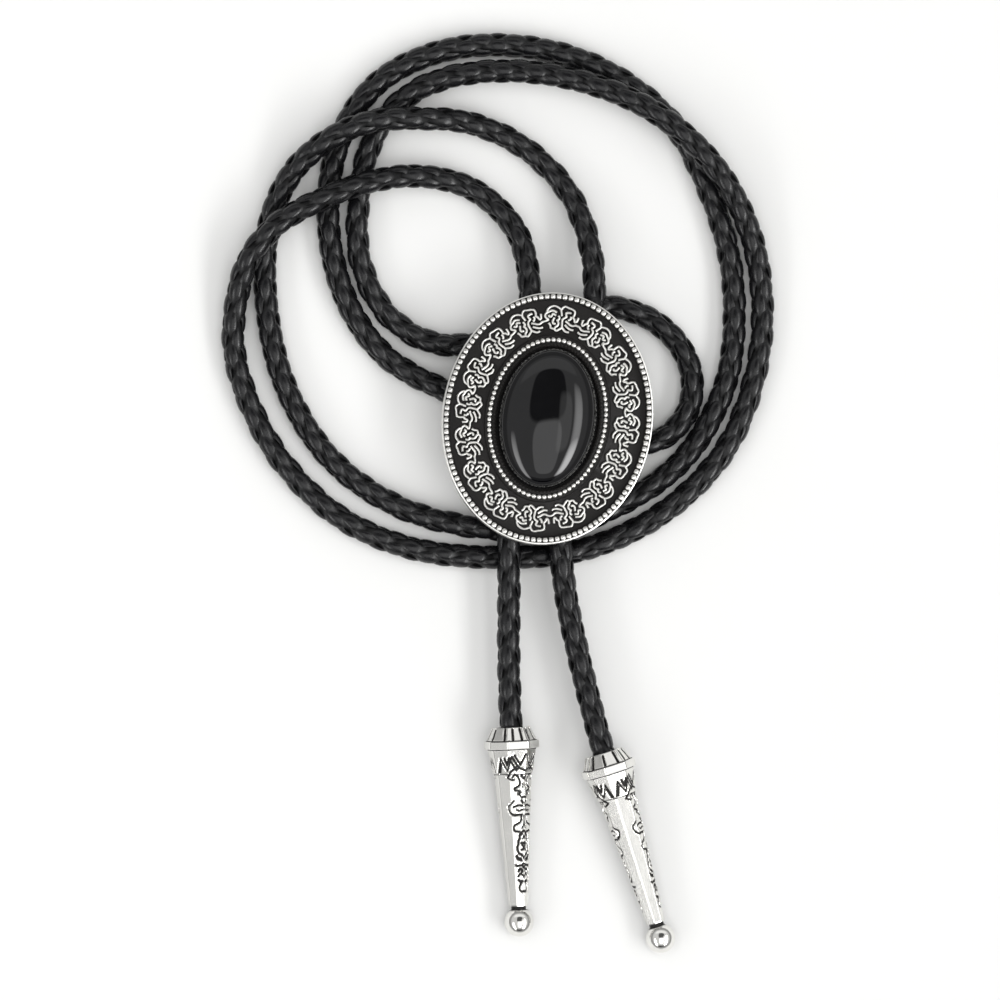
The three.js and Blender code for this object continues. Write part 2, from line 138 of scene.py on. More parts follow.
# The tip's outline from the bottom of its socket round to the ball: station from the mouth and radius
# out to the corners, in millimetres, how round its section is, from 0 for eight flat sides to 1, and
# how far the buff has reached
FLANGE_RADIUS = 5.4
FLANGE_END = 4.1
SHAFT_END = 34.5
BALL_RADIUS = 2.85
BALL_STATION = 37.6
TIP_SIDES = 8
FIRST_OUTER_ROW = 5
TIP_ROWS = (
    (2.4, 0.0, 1, 0.0), (2.4, 2.4, 1, 0.0), (0.25, 2.4, 1, 0.1), (0.06, 2.5, 1, 0.5),
    (0.0, 2.65, 1, 0.9), (0.0, 3.68, 0, 1.0), (0.1, 3.78, 0, 1.0), (2.42, 4.88, 0, 0.9),
    (2.5, 4.9, 0, 0.1), (2.58, 4.98, 0, 0.1), (2.62, 5.3, 0, 0.9), (2.72, 5.4, 0, 1.0),
    (4.0, 5.4, 0, 1.0), (4.1, 5.3, 0, 0.9), (4.12, 4.9, 0, 0.2), (4.2, 4.76, 0, 0.05),
    (4.4, 4.74, 0, 0.7), (8.8, 3.96, 0, 1.0), (8.9, 3.9, 0, 0.8), (8.92, 3.72, 0, 0.1),
    (9.05, 3.68, 0, 0.4), (9.4, 3.65, 0, 1.0), (34.3, 1.87, 0, 1.0), (34.5, 1.78, 0, 0.9),
    (34.55, 1.45, 0.5, 0.1), (34.95, 1.4, 1, 0.0),
)

# Each tip: the mouth's place round the medallion's middle, the lean away from -Y and the roll about
# its axis
TIPS = (
    ("tip_left", -6.6, -59.1, 2.7, -55.5),
    ("tip_right", 11.3, -63.9, 17.4, -10.5),
)

# Lines cut into the tip, each with its width in millimetres. Across counts faces from the edge between
# a plain and an engraved face: to 1 at the ridge between the two engraved faces and to -1 at the edge
# between the two plain ones, and alike on both sides of each. Station is in millimetres from the mouth.
TIP_LINES = (
    (0.32, ((-0.25, 0.35), (-0.25, 2.3))),
    (0.28, ((0.25, 0.35), (0.25, 2.3))),
    (0.3, ((0.75, 0.35), (0.75, 2.3))),
    (0.2, ((-0.97, 0.4), (-0.97, 2.3))),
    (0.2, ((-0.88, 8.6), (-0.6, 5.9), (-0.4, 7.2))),
    (0.34, ((-0.76, 8.5), (-0.62, 6.9))),
    (0.3, ((-0.34, 5.9), (-0.2, 7.1), (-0.04, 5.8))),
    (0.2, ((-0.4, 7.2), (-0.2, 8.3), (0.12, 5.6))),
    (0.3, ((0.14, 5.6), (0.5, 7.4))),
    (0.26, ((0.3, 5.3), (0.66, 7.2), (0.94, 5.2))),
    (0.24, ((0.08, 6.5), (0.4, 8.2), (0.6, 7.6))),
    (0.25, ((-0.29, 9.6), (-0.15, 9.2), (-0.05, 8.7), (0.08, 8.3), (0.24, 8.0), (0.39, 7.6))),
    (0.2, ((-0.26, 9.6), (-0.1, 9.9), (0.09, 10.1), (0.23, 10.0))),
    (0.18, ((0.11, 9.6), (0.2, 9.3), (0.28, 9.0))),
    (0.26, ((0.42, 9.2), (0.54, 9.5), (0.64, 10.1), (0.68, 10.7), (0.6, 11.2), (0.41, 11.5),
            (0.23, 11.7), (0.29, 12.1), (0.5, 12.2), (0.71, 12.4), (0.62, 12.8))),
    (0.24, ((0.49, 12.8), (0.63, 12.9), (0.78, 13.5), (1.0, 13.4))),
    (0.17, ((0.9, 10.6), (0.86, 11.5))),
    (0.25, ((0.55, 7.7), (0.8, 8.1), (1.0, 8.3))),
    (0.3, ((0.78, 9.3), (0.9, 9.7), (1.0, 9.9))),
    (0.3, ((0.78, 14.1), (0.89, 14.5))),
    (0.23, ((0.08, 15.3), (0.31, 15.1), (0.57, 15.0), (0.87, 15.1))),
    (0.2, ((0.33, 15.8), (0.55, 16.1), (0.75, 15.9), (0.9, 15.8))),
    (0.2, ((0.14, 14.1), (-0.09, 14.7), (-0.34, 15.1), (-0.36, 15.6), (-0.24, 16.3))),
    (0.26, ((-0.24, 16.3), (-0.04, 16.7), (0.15, 16.9), (0.43, 16.8), (0.81, 16.8))),
    (0.25, ((0.75, 17.0), (0.75, 17.7), (0.6, 18.3), (0.35, 18.6), (0.1, 18.8), (0.01, 19.3),
            (0.09, 19.9), (0.4, 20.1), (0.57, 20.1))),
    (0.2, ((0.99, 17.0), (1.0, 17.8), (0.98, 18.6), (0.79, 19.4))),
    (0.28, ((0.55, 21.1), (0.6, 20.6), (0.82, 20.1), (1.0, 19.9))),
    (0.3, ((0.79, 20.5), (0.55, 20.8), (0.58, 21.3), (0.44, 21.8), (0.4, 22.5), (0.29, 23.0),
           (0.32, 23.7), (0.49, 24.3), (0.69, 24.5), (0.86, 24.8))),
    (0.22, ((0.86, 21.4), (1.0, 20.9))),
    (0.3, ((0.72, 22.3), (0.92, 22.4), (1.0, 22.1))),
    (0.26, ((0.8, 22.7), (0.96, 23.0), (0.9, 23.5), (0.72, 23.6))),
    (0.24, ((0.9, 24.9), (1.0, 25.3))),
    (0.42, ((0.22, 24.8), (0.34, 25.3), (0.68, 25.5))),
    (0.28, ((0.04, 26.5), (0.21, 26.7), (0.48, 26.6), (0.71, 26.6), (0.89, 26.3))),
    (0.36, ((0.92, 26.9), (1.0, 27.1))),
    (0.3, ((0.36, 27.7), (0.42, 27.4), (0.65, 27.3), (0.83, 27.6), (0.73, 27.9))),
    (0.24, ((0.29, 28.7), (0.44, 28.3), (0.63, 28.2), (0.86, 28.5), (1.0, 28.9))),
    (0.28, ((0.29, 29.4), (0.5, 29.7), (0.85, 29.7))),
    (0.26, ((0.7, 29.8), (0.49, 30.4), (0.38, 30.8), (0.46, 31.4), (0.67, 31.7), (0.98, 31.6))),
)


def length_property(name, description, default, low, high):
    return FloatProperty(
        name=name, description=description, default=default, min=low, max=high, unit="LENGTH")


def count_property(name, description, default):
    return IntProperty(name=name, description=description, default=default, min=20, max=200)


class BoloTieSizes(bpy.types.PropertyGroup):
    """Sizes of the fine work that a maker would change"""

    braid_diameter: length_property(
        "Braid diameter", "Thickness of the braided cord", 0.0047, 0.002, 0.008)
    braid_pitch: length_property(
        "Braid pitch", "Length of cord in which a strand goes once round", 0.0189, 0.006, 0.03)
    strand_width: length_property(
        "Strand width", "Width of one leather strand", 0.0028, 0.001, 0.004)
    strand_thickness: length_property(
        "Strand thickness", "Thickness of one leather strand", 0.001, 0.0005, 0.002)
    rib_width: length_property(
        "Rib width", "Width of the scroll's raised lines", 0.00046, 0.0002, 0.0008)
    rib_height: length_property(
        "Rib height", "Height of the scroll's raised lines over the field", 0.00045, 0.0001, 0.001)
    rim_beads: count_property("Rim beads", "Squarish beads round the rim", 117)
    ring_beads: count_property("Ring beads", "Round beads round the bezel", 81)
    bezel_beads: count_property("Bezel beads", "Small black beads on the bezel", 112)
    engraving_depth: length_property(
        "Engraving depth", "Depth of the lines cut into the tips", 0.00024, 0.0, 0.0006)
    dome_height: length_property(
        "Dome height", "Height of the stone's dome over its girdle", 0.0046, 0.001, 0.008)


def linear(hex_colour):
    """The linear RGBA of an sRGB hex colour."""
    channels = [int(hex_colour[i:i + 2], 16) / 255 for i in (0, 2, 4)]
    spread = [c / 12.92 if c <= 0.04045 else ((c + 0.055) / 1.055) ** 2.4 for c in channels]
    return (*spread, 1.0)


def colour_property(name, description, hex_colour):
    return FloatVectorProperty(
        name=name, description=description, subtype="COLOR", size=4, min=0, max=1,
        default=linear(hex_colour))


class BoloTieColours(bpy.types.PropertyGroup):
    """Colours of the finishes"""

    leather: colour_property("Leather", "Dyed black leather", "070708")
    silver: colour_property("Silver", "Silver plating where it is buffed", "ebeae6")
    oxide: colour_property("Oxide", "Blackening left in the recesses", "0f0d0c")
    stone: colour_property("Stone", "Black cabochon", "050506")
    steel: colour_property("Steel", "Plain metal of the slide", "a9a9a7")
    table: colour_property("Table", "Pale table top", "c2c2c1")


def connect(tree, node, inputs):
    """Links an input where a socket is given for it, and sets it otherwise."""
    for key, value in inputs.items():
        if isinstance(value, bpy.types.NodeSocket):
            tree.links.new(value, node.inputs[key])
        else:
            node.inputs[key].default_value = value


def add_node(tree, kind, inputs=None, **settings):
    """Adds a node with its settings and inputs."""
    made = tree.nodes.new(kind)
    for name, value in settings.items():
        setattr(made, name, value)
    connect(tree, made, inputs or {})
    return made


def new_material(name):
    """An empty material with its shader and the object's own coordinates."""
    material = bpy.data.materials.new(name)
    material.use_nodes = True
    tree = material.node_tree
    tree.nodes.clear()
    shader = add_node(tree, "ShaderNodeBsdfPrincipled")
    add_node(tree, "ShaderNodeOutputMaterial", {"Surface": shader.outputs["BSDF"]})
    place = add_node(tree, "ShaderNodeTexCoord").outputs["Object"]
    return material, tree, shader, place


def sum_node(tree, operation, *values):
    return add_node(tree, "ShaderNodeMath", dict(enumerate(values)), operation=operation).outputs[0]


def vector_node(tree, operation, first, second):
    return add_node(tree, "ShaderNodeVectorMath", {0: first, 1: second}, operation=operation)


def stretched(tree, place, scale):
    """Coordinates whose features grow long along the axes with a small scale."""
    return add_node(tree, "ShaderNodeMapping", {"Vector": place, "Scale": scale}).outputs[0]


def noise(tree, place, size, detail=2.0, roughness=0.5):
    """Noise whose features measure about the given size."""
    settings = {"Vector": place, "Scale": 1 / size, "Detail": detail, "Roughness": roughness}
    return add_node(tree, "ShaderNodeTexNoise", settings).outputs["Fac"]


def remap(tree, value, low, high, to_low, to_high):
    span = {"Value": value, "From Min": low, "From Max": high, "To Min": to_low, "To Max": to_high}
    return add_node(tree, "ShaderNodeMapRange", span).outputs["Result"]


def mix_colour(tree, share, first, second):
    pair = {0: share, 6: first, 7: second}
    return add_node(tree, "ShaderNodeMix", pair, data_type="RGBA").outputs[2]


def oxidised_silver(name, colours, bright_roughness):
    """Silver-plated zinc, oxidised black and buffed: bright on what stands up, black in the lows."""
    material, tree, shader, place = new_material(name)
    worn = add_node(tree, "ShaderNodeAttribute", attribute_name="worn").outputs["Fac"]
    mottle = remap(tree, noise(tree, place, 0.6 * MM, 3.0), 0.3, 0.7, -0.12, 0.12)
    reach = sum_node(tree, "ADD", worn, mottle)
    bright = remap(tree, reach, 0.3, 0.66, 0.0, 1.0)
    cloud = remap(tree, noise(tree, place, 3 * MM), 0.3, 0.7, 0.0, 1.0)
    warm = mix_colour(tree, cloud, colours.silver, [c * 0.93 for c in colours.silver[:3]] + [1])
    colour = mix_colour(tree, bright, colours.oxide, warm)
    # Buffing leaves hairlines, and the cast skin under the oxide is finely pitted
    pits = noise(tree, place, 0.12 * MM, 4.0, 0.7)
    long = stretched(tree, place, (1.0, 0.12, 1.0))
    hairlines = remap(tree, noise(tree, long, 0.15 * MM, 3.0), 0.35, 0.65, -0.02, 0.03)
    smooth = remap(tree, bright, 0.0, 1.0, 0.52, bright_roughness)
    rough = sum_node(tree, "ADD", smooth, hairlines)
    depth = remap(tree, bright, 0.0, 1.0, 0.35, 0.004)
    waves = remap(tree, noise(tree, place, 2.8 * MM, 1.0), 0.0, 1.0, 0.0, 0.3)
    relief = sum_node(tree, "MULTIPLY_ADD", pits, depth, waves)
    bump = add_node(tree, "ShaderNodeBump", {"Height": relief, "Distance": 0.05 * MM, "Strength": 0.8})
    metallic = remap(tree, bright, 0.0, 1.0, 0.12, 1.0)
    connect(tree, shader, {
        "Base Color": colour, "Metallic": metallic, "Roughness": rough, "Normal": bump.outputs[0]})
    shader.inputs["Specular IOR Level"].default_value = 0.3
    return material


def polished_onyx(colours):
    """Polished black chalcedony: a deep black with sharp reflections and the faintest grey clouding."""
    material, tree, shader, place = new_material("polished_onyx")
    cloud = remap(tree, noise(tree, place, 5 * MM, 4.0), 0.35, 0.75, 0.0, 0.5)
    colour = mix_colour(tree, cloud, colours.stone, linear("0c0c0e"))
    wipe = remap(tree, noise(tree, place, 2 * MM, 3.0), 0.3, 0.7, 0.02, 0.055)
    connect(tree, shader, {"Base Color": colour, "Roughness": wipe})
    shader.inputs["IOR"].default_value = 1.54
    shader.inputs["Specular IOR Level"].default_value = 0.4
    return material


def braided_leather(colours):
    """Black dyed and waxed split leather: a pebbled grain, creased across where a strand bends over."""
    material, tree, shader, place = new_material("waxed_leather")
    height = add_node(tree, "ShaderNodeAttribute", attribute_name="height").outputs["Fac"]
    along = add_node(tree, "ShaderNodeUVMap", uv_map="strand").outputs[0]
    # Painted shade: the leather is darker where a strand dips low between its neighbours and a little
    # lighter on its raised tops
    groove_shade = remap(tree, height, 0.55, 1.0, 0.0, 0.55)
    colour = mix_colour(tree, groove_shade, colours.leather, linear("101012"))
    patches = noise(tree, place, 1.6 * MM, 3.0)
    shine = remap(tree, patches, 0.3, 0.7, 0.22, 0.3)
    dull = remap(tree, height, 0.45, 0.9, 0.55, 0.0)
    rough = sum_node(tree, "ADD", shine, dull)
    pebble = add_node(tree, "ShaderNodeTexVoronoi", {"Vector": place, "Scale": 1 / (0.28 * MM)})
    grain = remap(tree, pebble.outputs["Distance"], 0.0, 0.7, 0.5, 0.0)
    long = stretched(tree, along, (0.25, 1.0, 1.0))
    creases = remap(tree, noise(tree, long, 0.35 * MM, 2.0), 0.0, 1.0, 0.0, 0.45)
    relief = sum_node(tree, "ADD", grain, creases)
    bump = add_node(tree, "ShaderNodeBump", {"Height": relief, "Distance": 0.06 * MM, "Strength": 0.25})
    connect(tree, shader, {"Base Color": colour, "Roughness": rough, "Normal": bump.outputs[0]})
    shader.inputs["IOR"].default_value = 1.45
    shader.inputs["Specular IOR Level"].default_value = 0.42
    return material


def satin_steel(colours):
    """Plain plated steel strip, drawn over felt: fine scratches along its length."""
    material, tree, shader, place = new_material("satin_steel")
    long = stretched(tree, place, (1.0, 0.08, 1.0))
    scratch = noise(tree, long, 0.2 * MM, 4.0)
    shade = [c * 0.86 for c in colours.steel[:3]] + [1]
    colour = mix_colour(tree, remap(tree, scratch, 0.3, 0.7, 0.0, 1.0), colours.steel, shade)
    rough = remap(tree, scratch, 0.3, 0.7, 0.26, 0.4)
    connect(tree, shader, {"Base Color": colour, "Roughness": rough})
    shader.inputs["Metallic"].default_value = 1.0
    return material


def pale_table(colours):
    """Matt white laminate with a barely visible mottle."""
    material, tree, shader, place = new_material("matt_laminate")
    mottle = remap(tree, noise(tree, place, 40 * MM), 0.3, 0.7, 0.0, 0.3)
    colour = mix_colour(tree, mottle, colours.table, linear("bfbfbe"))
    connect(tree, shader, {"Base Color": colour})
    shader.inputs["Roughness"].default_value = 0.7
    return material


def buffed_casting(colours):
    """The medallion's own finish, made once for all its pieces."""
    name = "buffed_casting"
    return bpy.data.materials.get(name) or oxidised_silver(name, colours, 0.32)


def select_only(*pieces):
    """Selects the pieces alone, with the first one active."""
    bpy.ops.object.select_all(action="DESELECT")
    for piece in pieces:
        piece.select_set(True)
    bpy.context.view_layer.objects.active = pieces[0]


def edit_all():
    """Edit mode with the whole mesh selected."""
    bpy.ops.object.mode_set(mode="EDIT")
    bpy.ops.mesh.select_all(action="SELECT")


def close_outward():
    """Fills the open rim that is selected, faces the whole mesh outward and leaves edit mode."""
    bpy.ops.mesh.edge_face_add()
    bpy.ops.mesh.select_all(action="SELECT")
    bpy.ops.mesh.normals_make_consistent(inside=False)
    bpy.ops.object.mode_set(mode="OBJECT")


def resize_selected(x, y, z=1):
    bpy.ops.transform.resize(value=(x, y, z), center_override=(0, 0, 0))


def extrude_up(height):
    bpy.ops.mesh.extrude_edges_move(TRANSFORM_OT_translate={"value": (0, 0, height)})


def scale_piece(piece, x, y, z):
    piece.scale = (x, y, z)
    bpy.ops.object.transform_apply(location=False, rotation=False, scale=True)


def mesh_piece(name, corners, faces):
    """A new object from corners and faces."""
    mesh = bpy.data.meshes.new(name)
    mesh.from_pydata([tuple(p) for p in corners], [], [tuple(int(i) for i in f) for f in faces])
    mesh.validate()
    piece = bpy.data.objects.new(name, mesh)
    bpy.context.collection.objects.link(piece)
    return piece


def set_attribute(mesh, name, values):
    """A number for each corner of the mesh, which its material reads."""
    layer = mesh.attributes.new(name, "FLOAT", "POINT")
    layer.data.foreach_set("value", np.asarray(values, dtype=np.float32))


def join(pieces, name):
    """One object from several, with its place in its mesh."""
    select_only(*pieces)
    bpy.ops.object.join()
    bpy.ops.object.transform_apply(location=True, rotation=True, scale=True)
    pieces[0].name = name
    return pieces[0]


def finish_piece(piece, sharp_from, material, node):
    """Smooths the edges below an angle in degrees, gives the piece its material, hangs it on the root
    body and hides the imported part that it stands for."""
    select_only(piece)
    bpy.ops.object.shade_smooth_by_angle(angle=math.radians(sharp_from))
    piece.data.materials.clear()
    piece.data.materials.append(material)
    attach(piece, "root")
    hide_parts(node)


def medallion_place(height=0.0):
    """The medallion's own frame: its middle, turned with it, with heights counted from its back."""
    place = Matrix.Translation((MIDDLE.x, MIDDLE.y, BACK + height))
    return place @ Matrix.Rotation(MEDALLION_TURN, 4, "Z")


def half_axes(offset):
    """Half the width and length of the oval that lies the offset outside the stone's edge."""
    return np.array([STONE_HALF_WIDTH + offset, STONE_HALF_LENGTH + offset])


def oval_walk(offset):
    """A function from the share of the way round an oval, clockwise from the top, to a place and the
    outward normal there."""
    turn = np.linspace(0, 2 * math.pi, 7201)
    axes = half_axes(offset)
    steps = np.hypot(np.diff(axes[0] * np.sin(turn)), np.diff(axes[1] * np.cos(turn)))
    run = np.concatenate([[0], np.cumsum(steps)])

    def at(share):
        angle = np.interp((share % 1) * run[-1], run, turn)
        way = np.array([math.sin(angle), math.cos(angle)])
        return axes * way, unit(way / axes)

    return at


def even_path(points, step):
    """The centripetal Catmull-Rom curve through the points, cut into even steps."""
    points = np.array(points, dtype=float)
    ends = (2 * points[0] - points[1], 2 * points[-1] - points[-2])
    points = np.vstack([ends[0], points, ends[1]])
    share = np.linspace(0, 1, 60, endpoint=False)[:, None]
    pieces = []
    for p0, p1, p2, p3 in zip(points, points[1:], points[2:], points[3:]):
        d0, d1, d2 = (math.sqrt(np.linalg.norm(b - a)) for a, b in ((p0, p1), (p1, p2), (p2, p3)))
        m1 = ((p1 - p0) / d0 - (p2 - p0) / (d0 + d1) + (p2 - p1) / d1) * d1
        m2 = ((p2 - p1) / d1 - (p3 - p1) / (d1 + d2) + (p3 - p2) / d2) * d1
        cubic = 2 * p1 - 2 * p2 + m1 + m2
        square = 3 * p2 - 3 * p1 - 2 * m1 - m2
        pieces.append(p1 + m1 * share + square * share ** 2 + cubic * share ** 3)
    fine = np.vstack([*pieces, points[-2]])
    run = np.concatenate([[0], np.cumsum(np.linalg.norm(np.diff(fine, axis=0), axis=1))])
    count = round(run[-1] / step)
    marks = np.linspace(0, run[-1], count + 1)
    return marks, np.stack([np.interp(marks, run, fine[:, axis]) for axis in range(3)], axis=1)


def unit(vectors):
    return vectors / np.linalg.norm(vectors, axis=-1, keepdims=True)


def tube_faces(rings, sides, first):
    """Quads of a tube of rings, with both ends closed."""
    ring, side = np.meshgrid(np.arange(rings - 1), np.arange(sides), indexing="ij")
    ring, side = ring.ravel(), side.ravel()
    after = (side + 1) % sides
    quads = np.stack([ring * sides + side, (ring + 1) * sides + side, (ring + 1) * sides + after,
                      ring * sides + after], axis=1) + first
    caps = [first + np.arange(sides), first + (rings - 1) * sides + np.arange(sides)[::-1]]
    return [*quads, *caps]


def copies_round_oval(pattern, offset, count, height):
    """Copies of one modelled piece, set evenly round an oval and turned with it."""
    walk = oval_walk(offset)
    made = []
    for i in range(count):
        place, normal = walk(i / count)
        turn = math.atan2(normal[1], normal[0])
        copy = pattern.copy()
        copy.data = pattern.data.copy()
        bpy.context.collection.objects.link(copy)
        copy.matrix_world = (medallion_place(height) @ Matrix.Translation((*place, 0))
                             @ Matrix.Rotation(turn, 4, "Z"))
        made.append(copy)
    bpy.data.objects.remove(pattern)
    return made


def worn_by_height(piece, low, high):
    """The buff reaches the top of a raised piece and not its foot."""
    heights = np.array([v.co.z for v in piece.data.vertices]) - BACK
    set_attribute(piece.data, "worn", np.clip((heights - low) / (high - low), 0, 1))


class BOLO_OT_stage(bpy.types.Operator):
    """Lay the pale table top, hang the lights and set the camera over the tie"""

    bl_idname = "bolo.stage"
    bl_label = "Stage"

    # Each soft box's name, place and power. They make the shadows and don't show in reflections.
    SOFT_BOXES = (("soft_box_left", (-1.0, 0.3, 1.0), 5.0), ("soft_box_above", (0, 0, 1.9), 20.0))
    SOFT_BOX_SIZE = 1.6

    # What the metal and the stone reflect: an even room, and rounded rectangles on a ceiling one unit
    # up, each with its middle, half size, softness of the edge and light added
    ROOM_LEVEL = 0.35
    LOWEST_LOOK = 0.02
    PANELS = (
        ((0, 0), (2.6, 2.6), 0.6, 0.35), ((0.0, 1.35), (1.3, 0.5), 0.3, 0.3),
        ((0.03, 0.44), (0.42, 0.41), 0.2, -0.6), ((0.06, -0.5), (0.33, 0.54), 0.15, 1.1),
        ((0.45, -0.02), (0.18, 0.36), 0.5, 0.65), ((1.0, -0.5), (0.26, 0.95), 1.0, 4.0),
        ((0.95, -1.0), (0.28, 0.6), 1.0, 8.0), ((-1.2, -1.35), (0.3, 1.1), 1.0, 5.5),
        ((0.0, -2.5), (1.0, 0.9), 0.4, -0.5),
    )

    def execute(self, context):
        self.camera(context)
        self.table(context)
        self.lights(context)
        return {"FINISHED"}

    def camera(self, context):
        """Over the medallion, leaning five degrees to the lower left."""
        distance = 1.5
        picture_width = 1000
        metres_to_a_pixel = 0.192 * MM
        medallion_pixel = (548.1, 417.8)
        seen_height = 3.6 * MM
        lean, bearing = math.radians(5), math.radians(225)
        back = Vector((math.sin(lean) * math.cos(bearing), math.sin(lean) * math.sin(bearing),
                       math.cos(lean)))
        right = Vector((0, 1, 0)).cross(back).normalized()
        up = back.cross(right)
        aim = Vector((MIDDLE.x, MIDDLE.y, BACK + seen_height))
        aim -= right * (medallion_pixel[0] - picture_width / 2) * metres_to_a_pixel
        aim -= up * (picture_width / 2 - medallion_pixel[1]) * metres_to_a_pixel
        data = bpy.data.cameras.new("camera")
        data.lens = data.sensor_width * distance / (picture_width * metres_to_a_pixel)
        camera = bpy.data.objects.new("camera", data)
        context.collection.objects.link(camera)
        turn = Matrix((right, up, back)).transposed().to_4x4()
        camera.matrix_world = Matrix.Translation(aim + back * distance) @ turn
        context.scene.camera = camera
        context.scene.view_settings.view_transform = "Standard"

    def table(self, context):
        bpy.ops.mesh.primitive_plane_add(size=TABLE_WIDTH, location=(0, 0, 0))
        table = context.object
        table.name = "table_top"
        table.data.materials.append(pale_table(context.scene.bolo_colours))

    def lights(self, context):
        """The soft boxes, and the room with its ceiling of panels."""
        for name, place, power in self.SOFT_BOXES:
            data = bpy.data.lights.new(name, "AREA")
            data.size = self.SOFT_BOX_SIZE
            data.energy = power
            light = bpy.data.objects.new(name, data)
            context.collection.objects.link(light)
            light.location = place
            light.rotation_euler = (-Vector(place)).to_track_quat("-Z", "Y").to_euler()
            light.visible_glossy = False
        world = bpy.data.worlds.new("studio")
        world.use_nodes = True
        context.scene.world = world
        tree = world.node_tree
        tree.nodes.clear()
        way = add_node(tree, "ShaderNodeTexCoord").outputs["Generated"]
        height = add_node(tree, "ShaderNodeSeparateXYZ", {"Vector": way}).outputs["Z"]
        height = sum_node(tree, "MAXIMUM", height, self.LOWEST_LOOK)
        heights = add_node(tree, "ShaderNodeCombineXYZ", {"X": height, "Y": height, "Z": height})
        ceiling = vector_node(tree, "DIVIDE", way, heights.outputs[0]).outputs[0]
        level = self.ROOM_LEVEL
        for panel in self.PANELS:
            level = self.panel(tree, ceiling, level, *panel)
        sky = add_node(tree, "ShaderNodeBackground", {"Strength": level})
        sky.inputs["Color"].default_value = (1, 1, 1, 1)
        add_node(tree, "ShaderNodeOutputWorld", {"Surface": sky.outputs[0]})

    def panel(self, tree, ceiling, level, middle, half_size, softness, gain):
        """The level with a rounded rectangle of light added, or taken away."""
        sizes = {"Vector": ceiling, "Location": (*middle, 0), "Scale": (*half_size, 1)}
        local = add_node(tree, "ShaderNodeMapping", sizes, vector_type="TEXTURE").outputs[0]
        # The sum of the fourth powers is 1 on the rectangle's rounded edge
        for _ in range(2):
            local = vector_node(tree, "MULTIPLY", local, local).outputs[0]
        far = vector_node(tree, "DOT_PRODUCT", local, (1, 1, 0)).outputs["Value"]
        inside = remap(tree, far, 1 - softness, 1 + softness, 1.0, 0.0)
        return sum_node(tree, "MULTIPLY_ADD", inside, gain, level)


